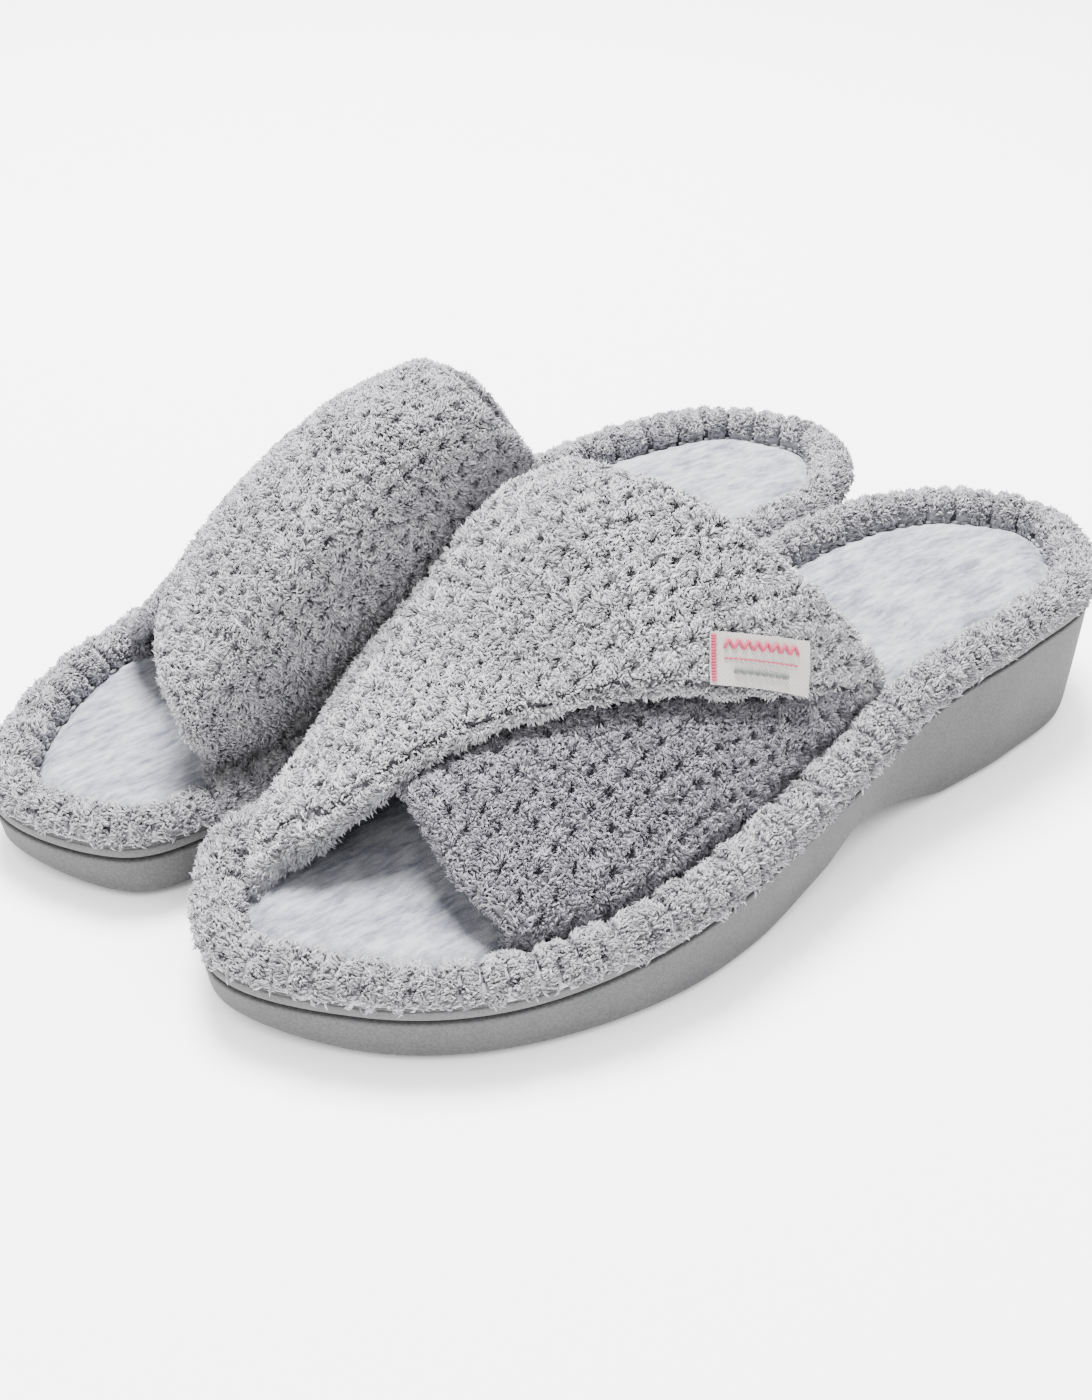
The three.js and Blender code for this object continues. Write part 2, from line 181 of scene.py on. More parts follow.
def side_line(inset, outer_side):
    """The x of the outline at y on one side, moved inwards by an inset."""
    u = np.linspace(0, 0.5, 201) + (0 if outer_side else 0.5)
    x, y = ring(u, np.full(201, float(inset))).T
    order = np.argsort(y)
    return lambda at: np.interp(at, y[order], x[order])


outer_base = side_line(STRAP_BASE_INSET, True)
inner_base = side_line(STRAP_BASE_INSET, False)
inner_outline = side_line(0, False)


def upper_form(upper):
    """The arch under the straps: a point at station y, t across it, at a depth."""
    names = ("crown", "lean", "outer", "inner")
    crown, lean, outer_power, inner_power = (through(upper[n]) for n in names)

    def form(y, t, depth):
        foot = band_top(y)
        height = crown(y) - depth - foot
        upright = np.minimum(UPRIGHT, height / 2)
        inner = inner_base(y) + depth
        outer = outer_base(y) - depth
        c = np.cos(np.pi * t)
        power = 2 / np.where(c > 0, outer_power(y), inner_power(y))
        across = np.sign(c) * np.abs(c) ** power
        up = np.abs(np.sin(np.pi * t)) ** power
        x = (inner + outer) / 2 + (outer - inner) / 2 * across + lean(y) * up
        limit = inner_outline(y) - upper["overhang"] + depth
        kept = limit + 1.5 * np.logaddexp(0, (x - limit) / 1.5)
        return np.stack([kept, y, foot + upright + (height - upright) * up], -1)

    return form


def hashed(number, size):
    """A steady pseudo-random number from 0 to 1."""
    return np.mod(np.sin(number) * size, 1)


def noise(points, scale, seed):
    """Smooth random numbers from 0 to 1 over points in space."""
    q = np.asarray(points, float) / scale
    cell = np.floor(q)
    f = q - cell
    f = f * f * (3 - 2 * f)
    total = 0
    for corner in np.ndindex(2, 2, 2):
        at = cell + corner
        dot = at @ np.array([127.1, 311.7, 74.7]) + seed * 17.17
        value = hashed(dot, 43758.5453)
        weight = np.prod(np.where(corner, f, 1 - f), -1)
        total = total + value * weight
    return total


def dimples(a, b):
    """How deep in a dimple cloth coordinates (a, b) are, from 0 to 1, and the step in a
    and in b from the dimple's middle."""
    turned = a * math.cos(DIMPLE_TILT) + b * math.sin(DIMPLE_TILT)
    along = b * math.cos(DIMPLE_TILT) - a * math.sin(DIMPLE_TILT)
    column = np.round(turned / DIMPLE_COLUMN)
    shift = np.mod(column, 2) * DIMPLE_PITCH / 2
    row = np.round((along - shift) / DIMPLE_PITCH)
    stray = hashed(column * 12.9 + row * 78.2, 4375.85) - 0.5
    da = turned - column * DIMPLE_COLUMN - stray * 0.9
    db = along - shift - row * DIMPLE_PITCH - stray * 0.7
    wide, long = DIMPLE_HALF
    return np.exp(-((da / wide) ** 2) - (db / long) ** 2), da, db


# ---------------------------------------------------------------- meshes


class Side:
    """One slipper: how its points go into the pair's frame, and how its faces turn."""

    def __init__(self, name):
        self.name = name
        self.mirrored = name == "right"

    def place(self, points):
        p = np.array(points, float)
        if self.mirrored:
            x, y = -p[..., 0], p[..., 1]
            c, s = math.cos(RIGHT_TURN), math.sin(RIGHT_TURN)
            across = c * x - s * y + RIGHT_SHIFT[0]
            along = s * x + c * y + RIGHT_SHIFT[1]
            p = np.stack([across, along, p[..., 2]], -1)
        return (p + PAIR_SHIFT) * MM

    def facing(self, faces):
        """The faces in the order that turns them outwards on this side."""
        return turned(faces) if self.mirrored else faces


def pair_shift():
    """Where the left slipper's origin is in the pair's frame, from its outsole's box."""
    low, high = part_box("left_outsole")
    u = np.linspace(0, 1, 2000, endpoint=False)
    x, y = ring(u).T
    return np.array(
        [
            (low.x + high.x) / 2 / MM - (x.min() + x.max()) / 2,
            (low.y + high.y) / 2 / MM - (y.min() + y.max()) / 2,
            0,
        ]
    )


def mesh_object(name, points, faces, uv=None, slots=None, smooth=True):
    """faces is a list of integer arrays, one for each number of corners."""
    mesh = bpy.data.meshes.new(name)
    faces = [np.asarray(f, np.int64) for f in faces if len(f)]
    corners = np.concatenate([f.ravel() for f in faces])
    sizes = np.concatenate([np.full(len(f), f.shape[1]) for f in faces])
    mesh.vertices.add(len(points))
    mesh.vertices.foreach_set("co", np.asarray(points, np.float32).ravel())
    mesh.loops.add(len(corners))
    mesh.loops.foreach_set("vertex_index", corners.astype(np.int32))
    mesh.polygons.add(len(sizes))
    starts = np.concatenate([[0], np.cumsum(sizes)[:-1]])
    mesh.polygons.foreach_set("loop_start", starts.astype(np.int32))
    if slots is not None:
        mesh.polygons.foreach_set("material_index", np.asarray(slots, np.int32))
    mesh.polygons.foreach_set("use_smooth", np.full(len(sizes), smooth))
    if uv is not None:
        layer = mesh.uv_layers.new(name="OFBake")
        layer.uv.foreach_set("vector", np.asarray(uv, np.float32)[corners].ravel())
    mesh.update(calc_edges=True)
    mesh.validate()
    piece = bpy.data.objects.new(name, mesh)
    bpy.context.scene.collection.objects.link(piece)
    return piece


def grid_faces(rows, columns, wrap_rows=False, wrap_columns=False, first=0):
    """Four-cornered faces between a grid's points, which are counted row by row."""
    r = np.arange(rows if wrap_rows else rows - 1)[:, None]
    c = np.arange(columns if wrap_columns else columns - 1)[None, :]
    r2, c2 = (r + 1) % rows, (c + 1) % columns
    quad = [r * columns + c, r * columns + c2, r2 * columns + c2, r2 * columns + c]
    quad = np.broadcast_arrays(*quad)
    return np.stack(quad, -1).reshape(-1, 4) + first


def turned(faces):
    return [np.asarray(f)[:, ::-1] for f in faces]


def tube_faces(count, columns):
    """A tube of count rows round it, with both its ends closed."""
    first = np.arange(count) * columns
    ends = np.array([first, (first + columns - 1)[::-1]])
    return [grid_faces(count, columns, True, False), ends]


def slab(top, bottom):
    """Points and faces of the closed body between two grids of the same size."""
    rows, columns = top.shape[:2]
    size = rows * columns
    points = np.concatenate([top.reshape(-1, 3), bottom.reshape(-1, 3)])
    index = np.arange(size).reshape(rows, columns)
    edge = np.concatenate([index[0], index[1:, -1], index[-1, -2::-1], index[-2:0:-1, 0]])
    following = np.roll(edge, -1)
    walls = np.stack([following, edge, edge + size, following + size], -1)
    upper = grid_faces(rows, columns)
    lower = grid_faces(rows, columns, first=size)[:, ::-1]
    return points, [np.concatenate([upper, lower, walls])]


def finish_piece(piece, materials, replaces=()):
    """Gives a piece its materials and says what it is to the frame."""
    for material in materials:
        piece.data.materials.append(material)
    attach(piece, "root")
    if replaces:
        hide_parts(*replaces)
    return piece


def normals_of(grid, wrap_rows=False, wrap_columns=False):
    """Unit normals of a grid of points, row direction cross column direction."""

    def slope(axis, wrap):
        if wrap:
            return np.roll(grid, -1, axis) - np.roll(grid, 1, axis)
        return np.gradient(grid, axis=axis)

    n = np.cross(slope(0, wrap_rows), slope(1, wrap_columns))
    return n / np.maximum(np.linalg.norm(n, axis=-1, keepdims=True), 1e-9)


def cloth_uv(cloth):
    """Cloth coordinates in millimetres as texture coordinates from 0 to 1."""
    return np.clip(0.5 + cloth / 900, 0.001, 0.999)


# ---------------------------------------------------------------- pile

TUFT_SIDES = 3
TUFT_ROOT = 0.5  # millimetres under the ground cloth
DIMPLE_PULL = 2.2  # how strongly a tuft beside a dimple leans away from it
PULL_REACH = 1.9  # millimetres
rng = np.random.default_rng(20261116)


def unit(vectors):
    return vectors / np.maximum(np.linalg.norm(vectors, axis=-1, keepdims=True), 1e-9)


def scatter(grid, normals, cloth, away, weight, wrap_rows=True, wrap_columns=False):
    """Random points on a grid surface, as a dictionary: places, normals, cloth
    coordinates, how deep in a dimple (0 to 1) and the step away from its middle."""
    rows, columns = grid.shape[:2]
    faces = grid_faces(rows, columns, wrap_rows, wrap_columns)
    flat = grid.reshape(-1, 3)
    a, b, c, d = (flat[faces[:, k]] for k in range(4))
    area = np.linalg.norm(np.cross(c - a, d - b), axis=1) / 2
    wanted = area * TUFTS_PER_MM2 * weight.reshape(-1)[faces].mean(1)
    which = np.repeat(np.arange(len(faces)), rng.poisson(wanted))
    s, t = rng.random((2, len(which), 1))
    share = [(1 - s) * (1 - t), s * (1 - t), s * t, (1 - s) * t]

    def blend(values):
        values = values.reshape(rows * columns, -1)
        return sum(w * values[faces[which, k]] for k, w in enumerate(share))

    return {
        "place": blend(grid),
        "normal": unit(blend(normals)),
        "cloth": blend(cloth),
        "dip": blend(away[..., :1])[:, 0],
        "away": blend(away[..., 1:]),
    }


def basis(direction):
    """Two directions square to each given one, and to each other."""
    other = np.where(np.abs(direction[:, 2:3]) > 0.9, [[1.0, 0, 0]], [[0, 0, 1.0]])
    e = np.cross(direction, other)
    e /= np.linalg.norm(e, axis=1, keepdims=True)
    return e, np.cross(direction, e)


def tufts(place, n, away, length, radius, look):
    """Small bent buds of yarn that lean in swirls, and away from the nearest dimple."""
    e, f = basis(n)
    swirl = 4 * np.pi * noise(place, 4.5, look["seed"]) + rng.normal(0, 0.6, len(place))
    lean = e * np.cos(swirl)[:, None] + f * np.sin(swirl)[:, None]
    reach = np.linalg.norm(away, axis=1, keepdims=True)
    pull = DIMPLE_PULL * np.exp(-((reach / PULL_REACH) ** 2)) * (reach > 1e-6)
    lean = unit(lean + pull * unit(away))
    tilt = look["tilt"] * rng.uniform(0.6, 1.2, (len(place), 1))
    first = unit(n * np.cos(tilt * 0.6) + lean * np.sin(tilt * 0.6))
    second = unit(n * np.cos(tilt * 1.35) + lean * np.sin(tilt * 1.35))
    root = place - n * TUFT_ROOT
    middle = place + first * (length * 0.5)[:, None]
    tip = middle + second * (length * 0.5)[:, None]
    middle_e, middle_f = basis(second)
    angles = 2 * np.pi * np.arange(TUFT_SIDES) / TUFT_SIDES
    points = np.empty((len(place), 2 * TUFT_SIDES + 1, 3))
    for k, angle in enumerate(angles):
        c, s = math.cos(angle), math.sin(angle)
        points[:, k] = root + (e * c + f * s) * (radius * 0.8)[:, None]
        ring_arm = middle_e * c + middle_f * s
        points[:, TUFT_SIDES + k] = middle + ring_arm * radius[:, None]
    points[:, -1] = tip
    return points


def tuft_faces(count):
    """Four-cornered and three-cornered faces of a number of tufts."""
    s = TUFT_SIDES
    quads = [[k, (k + 1) % s, s + (k + 1) % s, s + k] for k in range(s)]
    tips = [[s + k, s + (k + 1) % s, 2 * s] for k in range(s)]
    first = np.arange(count)[:, None, None] * (2 * s + 1)
    return (
        (np.array(quads)[None] + first).reshape(-1, 4),
        (np.array([*tips, [2, 1, 0]])[None] + first).reshape(-1, 3),
    )


MOST_TUFTS = 19000  # in one piece
TUFT_UV = [[0, 0], [1, 0], [0, 1], [0, 0], [1, 0], [0, 1], [1, 1]]


def pile(name, side, found, look, yarns):
    """Pieces of pile on scattered points, shorter in the dimples, where they take the darkest yarn
    as painted shade.
    """
    order = np.argsort(found["cloth"][:, 1], kind="stable")
    parts = max(1, math.ceil(len(order) / MOST_TUFTS))
    for k, chosen in enumerate(np.array_split(order, parts)):
        place, n, dip = (found[key][chosen] for key in ("place", "normal", "dip"))
        count = len(place)
        length = look["length"] * rng.uniform(0.75, 1.2, count) * (1 - 0.6 * dip)
        radius = look["radius"] * rng.uniform(0.8, 1.2, count) * (1 - 0.3 * dip)
        points = tufts(place, n, found["away"][chosen], length, radius, look)
        quads, triangles = tuft_faces(count)
        tone = rng.choice(3, count, p=look["tones"])
        # Painted shade: tufts deep in a dimple all take the dark yarn.
        tone = np.where(dip > 0.5, 2, tone)
        slots = np.concatenate([np.repeat(tone, TUFT_SIDES), np.repeat(tone, TUFT_SIDES + 1)])
        faces = side.facing([quads, triangles])
        uv = np.repeat(cloth_uv(found["cloth"][chosen]), 2 * TUFT_SIDES + 1, 0)
        step = np.tile(TUFT_UV, (count, 1))
        flat = side.place(points.reshape(-1, 3))
        piece = mesh_object(f"{name}_{k + 1}", flat, faces, uv + step * 8e-4, slots)
        finish_piece(piece, yarns)


# ---------------------------------------------------------------- materials


def nodes_of(name):
    material = bpy.data.materials.new(name)
    material.use_nodes = True
    tree = material.node_tree
    return material, tree, tree.nodes["Principled BSDF"]


def add_node(tree, kind, inputs=None, **settings):
    node = tree.nodes.new(kind)
    for key, value in settings.items():
        setattr(node, key, value)
    for key, value in (inputs or {}).items():
        node.inputs[key].default_value = value
    return node


def place_node(tree, stretch=(1, 1, 1)):
    """Places in the pair's frame, squeezed along the axes."""
    coordinates = add_node(tree, "ShaderNodeTexCoord")
    mapping = add_node(tree, "ShaderNodeMapping", {"Scale": stretch})
    tree.links.new(coordinates.outputs["Object"], mapping.inputs["Vector"])
    return mapping.outputs["Vector"]


def noise_node(tree, vector, scale, detail=3.0, roughness=0.6):
    node = add_node(
        tree, "ShaderNodeTexNoise", {"Scale": scale, "Detail": detail, "Roughness": roughness}
    )
    tree.links.new(vector, node.inputs["Vector"])
    return node.outputs["Fac"]


def ramp(tree, factor, low, high, low_at=0.35, high_at=0.65):
    node = add_node(tree, "ShaderNodeValToRGB")
    node.color_ramp.elements[0].position = low_at
    node.color_ramp.elements[1].position = high_at
    node.color_ramp.elements[0].color = (*low, 1)
    node.color_ramp.elements[1].color = (*high, 1)
    tree.links.new(factor, node.inputs["Fac"])
    return node.outputs["Color"]


def mix(tree, a, b, share, mode="MIX"):
    node = add_node(tree, "ShaderNodeMix", data_type="RGBA", blend_type=mode)
    node.inputs["Factor"].default_value = share
    tree.links.new(a, node.inputs["A"])
    tree.links.new(b, node.inputs["B"])
    return node.outputs["Result"]


def bump(tree, shader, height, strength, distance):
    node = add_node(tree, "ShaderNodeBump", {"Strength": strength, "Distance": distance})
    tree.links.new(height, node.inputs["Height"])
    tree.links.new(node.outputs["Normal"], shader.inputs["Normal"])


def cloth_shader(shader, sheen, roughness=0.95):
    shader.inputs["Roughness"].default_value = roughness
    shader.inputs["Specular IOR Level"].default_value = 0.15
    shader.inputs["Sheen Weight"].default_value = sheen
    shader.inputs["Sheen Roughness"].default_value = 0.45


def yarn(name, colour, spread, sheen=0.25):
    """Yarn whose dye takes unevenly: patches 20 mm across and single tufts."""
    material, tree, shader = nodes_of(name)
    cloth_shader(shader, sheen)
    where = place_node(tree)
    dark = tuple(c * (1 - spread) for c in colour)
    light = tuple(min(1, c * (1 + spread)) for c in colour)
    patches = ramp(tree, noise_node(tree, where, 50, 3), dark, light)
    single = ramp(tree, noise_node(tree, where, 600, 1), dark, light, 0.3, 0.7)
    tree.links.new(mix(tree, patches, single, 0.5), shader.inputs["Base Color"])
    return material


TERRY_LIGHT = yarn("terry_light", (0.60, 0.60, 0.62), 0.07)
TERRY_MID = yarn("terry_mid", (0.44, 0.433, 0.463), 0.08)
TERRY_DARK = yarn("terry_dark", (0.29, 0.287, 0.31), 0.10, 0.1)
TERRY_GROUND = yarn("terry_ground", (0.42, 0.418, 0.44), 0.12, 0.0)
# Painted shade: near-black terry for the faces deep in dimples, pinches and the crease under the
# hem.
TERRY_RECESS_PAINTED_SHADE = yarn("terry_recess_painted_shade", (0.10, 0.097, 0.108), 0.12, 0.0)


def lining_material():
    material, tree, shader = nodes_of("lining_knit_painted_shade")
    cloth_shader(shader, 0.1)
    where = place_node(tree)
    # Dark grey knit, darkened further as painted shade for the shaded inside of the straps.
    colour = ramp(tree, noise_node(tree, where, 120), (0.045, 0.044, 0.05), (0.08, 0.078, 0.088))
    tree.links.new(colour, shader.inputs["Base Color"])
    ribs = add_node(tree, "ShaderNodeTexWave", {"Scale": 400, "Distortion": 1.5})
    tree.links.new(where, ribs.inputs["Vector"])
    bump(tree, shader, ribs.outputs["Fac"], 0.4, 0.0003)
    return material


def velour_material():
    """Brushed pile: pale, with darker strokes where the nap lies the other way."""
    material, tree, shader = nodes_of("velour")
    cloth_shader(shader, 0.2)
    streaks = place_node(tree, (1.0, 0.5, 1.0))
    strokes = place_node(tree, (1.0, 0.22, 1.0))
    broad = noise_node(tree, streaks, 120, 6, 0.66)
    fine = noise_node(tree, strokes, 560, 4, 0.7)
    first = ramp(tree, broad, (0.20, 0.21, 0.27), (0.57, 0.58, 0.63), 0.40, 0.58)
    second = ramp(tree, fine, (0.16, 0.17, 0.22), (0.62, 0.63, 0.67), 0.38, 0.60)
    tree.links.new(mix(tree, first, second, 0.5), shader.inputs["Base Color"])
    nap = noise_node(tree, place_node(tree), 2600, 3, 0.7)
    bump(tree, shader, nap, 0.7, 0.0005)
    return material


def rubber_material(name, dark, light, grain=0.5):
    material, tree, shader = nodes_of(name)
    shader.inputs["Roughness"].default_value = 0.74
    shader.inputs["Specular IOR Level"].default_value = 0.2
    where = place_node(tree)
    blotches = ramp(tree, noise_node(tree, where, 35, 6, 0.65), dark, light, 0.3, 0.7)
    specks = ramp(tree, noise_node(tree, where, 1500, 2), dark, light, 0.4, 0.62)
    tree.links.new(mix(tree, blotches, specks, 0.5), shader.inputs["Base Color"])
    bump(tree, shader, noise_node(tree, where, 1700, 3), grain, 0.0003)
    return material


def thread_material(name, colour):
    material, tree, shader = nodes_of(name)
    cloth_shader(shader, 0.2, 0.75)
    where = place_node(tree)
    dark = tuple(c * 0.8 for c in colour)
    twist = noise_node(tree, where, 900, 2)
    tree.links.new(ramp(tree, twist, dark, colour), shader.inputs["Base Color"])
    return material


def label_material():
    """Off-white twill tape: fine slanting ribs."""
    material, tree, shader = nodes_of("label_twill")
    cloth_shader(shader, 0.1, 0.8)
    where = place_node(tree)
    ribs = add_node(tree, "ShaderNodeTexWave", {"Scale": 820, "Distortion": 0.4})
    ribs.bands_direction = "DIAGONAL"
    tree.links.new(where, ribs.inputs["Vector"])
    colour = ramp(tree, ribs.outputs["Fac"], (0.50, 0.48, 0.45), (0.66, 0.64, 0.60), 0.1, 0.8)
    tree.links.new(colour, shader.inputs["Base Color"])
    bump(tree, shader, ribs.outputs["Fac"], 0.4, 0.0002)
    return material


TERRY = [TERRY_LIGHT, TERRY_MID, TERRY_DARK]
# Painted shade: darker, cooler copies of the terry for the under straps, standing for the shade
# under the over strap.
TERRY_PAINTED_SHADE_MID = yarn("terry_cool", (0.30, 0.29, 0.325), 0.09)
TERRY_PAINTED_SHADE_DARK = yarn("terry_cool_dark", (0.18, 0.173, 0.20), 0.10, 0.1)
UNDER_TERRY_PAINTED_SHADE = [TERRY_MID, TERRY_PAINTED_SHADE_MID, TERRY_PAINTED_SHADE_DARK]
LINING_WITH_PAINTED_SHADE = lining_material()
VELOUR = velour_material()
SOLE = rubber_material("sole_rubber", (0.078, 0.078, 0.08), (0.132, 0.132, 0.134))
BAND = rubber_material("band_rubber", (0.098, 0.098, 0.1), (0.15, 0.15, 0.152))
EVA = rubber_material("eva_foam", (0.46, 0.46, 0.45), (0.56, 0.56, 0.55), 0.5)
BOARD = rubber_material("fibre_board", (0.30, 0.26, 0.21), (0.38, 0.33, 0.27), 0.4)
GREY_THREAD = thread_material("grey_thread", (0.40, 0.40, 0.42))
PINK_THREAD = thread_material("pink_thread", (0.60, 0.10, 0.17))
SAGE_THREAD = thread_material("sage_thread", (0.20, 0.22, 0.20))
LABEL_TWILL = label_material()

# ---------------------------------------------------------------- sole

RING_COUNT = 360
CAP_ACROSS = 12


def ring_solid(side, profile, base=None, cap=None, closed=False):
    """A body of rings round the outline. profile holds (inset, height) pairs, where a
    height is a number above base(y) or a function of y. cap closes it top and bottom."""
    u = np.arange(RING_COUNT) / RING_COUNT
    rings = []
    for inset, height in profile:
        xy = ring(u, np.full(RING_COUNT, float(inset)))
        z = height(xy[:, 1]) if callable(height) else base(xy[:, 1]) + height
        rings.append(np.column_stack([xy, z]))
    points = np.concatenate(rings)
    faces = [grid_faces(len(rings), RING_COUNT, closed, True)]
    if cap:
        for which, turn, height in ((0, True, cap[0]), (len(rings) - 1, False, cap[1])):
            points, cap_faces = add_cap(points, which * RING_COUNT, turn, height)
            faces += cap_faces
    return points, side.facing(faces)


def add_cap(points, first, turn, height):
    """Closes a ring with strips that run straight across, at the heights of a function."""
    half = RING_COUNT // 2
    i = np.arange(1, half)
    a, b = points[first + i], points[first + RING_COUNT - i]
    share = np.arange(1, CAP_ACROSS)[:, None, None] / CAP_ACROSS
    inner = a + (b - a) * share
    inner[..., 2] = height(inner[..., 1])
    start = len(points)
    columns = [first + i]
    for k in range(CAP_ACROSS - 1):
        columns.append(start + k * len(i) + np.arange(len(i)))
    columns.append(first + RING_COUNT - i)
    index = np.stack(columns)
    quads = np.stack([index[:-1, :-1], index[1:, :-1], index[1:, 1:], index[:-1, 1:]], -1)
    quads = quads.reshape(-1, 4)
    toe = [[first, index[k + 1, 0], index[k, 0]] for k in range(CAP_ACROSS)]
    heel = [[first + half, index[k, -1], index[k + 1, -1]] for k in range(CAP_ACROSS)]
    triangles = np.array(toe + heel)
    faces = [quads[:, ::-1], triangles]
    if turn:
        faces = turned(faces)
    return np.concatenate([points, inner.reshape(-1, 3)]), faces


def sole_floor(y):
    return np.minimum(underside(y) + 4, groove_height(y) - 6)


def outsole(side):
    """Cup sole: rounded lower edge, tapered wall, rolled lip at the groove, tread slots."""

    def over_under(height):
        return lambda y: underside(y) + height

    def up_wall(share, drop=0.0):
        return lambda y: over_under(SOLE_ROLL)(y) * (1 - share) + groove_height(y) * share - drop

    profile = [
        (3.6, over_under(0)), (2.9, over_under(0.15)), (2.3, over_under(0.6)),
        (2.0, over_under(1.1)), (1.1, over_under(1.5)), (0.75, over_under(1.9)),
        (0.62, over_under(SOLE_ROLL)), (0.34, up_wall(0.33)), (0.14, up_wall(0.66)),
        (0.0, up_wall(1, 1.0)), (0.04, up_wall(1, 0.45)), (0.3, up_wall(1, 0.12)),
        (0.8, up_wall(1)), (SOLE_WALL - 0.3, up_wall(1)), (SOLE_WALL, up_wall(1, 0.3)),
        (SOLE_WALL, sole_floor),
    ]
    points, faces = ring_solid(side, profile, cap=(underside, sole_floor))
    name = f"{side.name}_sole_unit"
    piece = mesh_object(name, side.place(points), faces)
    cut_tread(side, piece)
    return finish_piece(piece, [SOLE], [f"{side.name}_outsole"])


def cut_tread(side, piece):
    """Cuts the slots across the tread."""
    outer_edge = side_line(TREAD_SLOT["margin"], True)
    inner_edge = side_line(TREAD_SLOT["margin"], False)
    boxes = []
    faces = []
    corner = np.array([[x, y, z] for z in (0, 1) for y in (0, 1) for x in (0, 1)])
    quads = [[0, 2, 3, 1], [4, 5, 7, 6], [0, 1, 5, 4], [2, 6, 7, 3], [0, 4, 6, 2], [1, 3, 7, 5]]
    for k, y in enumerate(TREAD_ROWS):
        low = np.array([inner_edge(y), y - TREAD_SLOT["wide"] / 2, underside(y) - 1])
        size = np.array([outer_edge(y) - inner_edge(y), TREAD_SLOT["wide"], 1 + TREAD_SLOT["deep"]])
        boxes.append(low + corner * size)
        faces.append(np.array(quads) + 8 * k)
    faces = side.facing([np.concatenate(faces)])
    cutter = mesh_object("cutter", side.place(np.concatenate(boxes)), faces, smooth=False)
    cut = piece.modifiers.new("tread", "BOOLEAN")
    cut.object = cutter
    cut.operation = "DIFFERENCE"
    cut.solver = "EXACT"
    apply_modifiers(piece)
    bpy.data.objects.remove(cutter)


def apply_modifiers(piece):
    """Puts the mesh that the modifiers make in place of the piece's own."""
    graph = bpy.context.evaluated_depsgraph_get()
    result = bpy.data.meshes.new_from_object(piece.evaluated_get(graph))
    old = piece.data
    piece.modifiers.clear()
    piece.data = result
    bpy.data.meshes.remove(old)


def sole_band(side):
    """Band above the groove: a moulded strip, and a thin ridged strip on top of it."""
    split = 3.5
    ridge_pitch = 0.6
    ridge_outline = [(0.45, 0), (0.1, 0.2), (0.1, 0.36), (0.45, 0.55)]
    profile = [(1.4, 0.15), (1.4, 0.75), (0.5, 0.85), (0.12, 1.1), (0.0, 1.5)]
    profile += [(0.0, split - 0.5), (0.15, split - 0.15), (0.55, split), (0.5, split + 0.2)]
    ridge = split + 0.25
    while ridge < BAND_TALL - 0.35:
        profile += [(inset, ridge + up) for inset, up in ridge_outline]
        ridge += ridge_pitch
    profile += [(0.5, BAND_TALL), (SOLE_WALL, BAND_TALL), (SOLE_WALL, 0.15)]
    points, faces = ring_solid(side, profile, base=groove_height, closed=True)
    piece = mesh_object(f"{side.name}_foxing_band", side.place(points), faces)
    return finish_piece(piece, [BAND], [f"{side.name}_sole_band"])


# ---------------------------------------------------------------- footbed


# Millimetres: the cover's inset from the outline, and heights over the band's top.
FOOTBED = {"inset": 9.4, "edge": -2.6, "roll": 3.2, "crown": 1.3, "low": 5.2}
# How far each unevenness reaches across, and how tall it stands.
FOOTBED_DENTS = [(9, 0.9), (3.1, 0.4)]
FOOTBED_NAP = (1.3, 0.16)


def footbed(side):
    """Padded velour footbed: crowned, dipping to the rim, with a worn-in unevenness."""
    count, across = 300, 72
    u = np.arange(count) / count
    edge = ring(u, np.full(count, FOOTBED["inset"]))
    i = np.arange(1, count // 2)
    share = np.linspace(0, 1, across)
    a, b = edge[i], edge[count - i]
    xy = a[:, None] + (b - a)[:, None] * share[None, :, None]
    far = np.linalg.norm(xy[:, :, None, :] - edge[None, None, ::3], axis=-1).min(2)
    flat = np.concatenate([xy, np.zeros((*xy.shape[:2], 1))], -1)
    z = band_top(xy[..., 1]) + FOOTBED["edge"]
    z += FOOTBED["roll"] * smoothstep(-0.5, 6.5, far)
    z += FOOTBED["crown"] * smoothstep(6, 34, far)
    for seed, (scale, tall) in enumerate(FOOTBED_DENTS, 3):
        z += (noise(flat, scale, seed) - 0.5) * tall * smoothstep(2, 8, far)
    scale, tall = FOOTBED_NAP
    z += (noise(flat, scale, 5) - 0.5) * tall
    top = np.concatenate([xy, z[..., None]], -1)
    bottom = np.concatenate([xy, band_top(xy[..., 1:]) - FOOTBED["low"]], -1)
    points, faces = slab(top, bottom)
    faces = side.facing(turned(faces))
    uv = cloth_uv(points[:, :2])
    piece = mesh_object(f"{side.name}_footbed", side.place(points), faces, uv)
    names = [f"{side.name}_footbed_cover", f"{side.name}_footbed_foam"]
    return finish_piece(piece, [VELOUR], names)


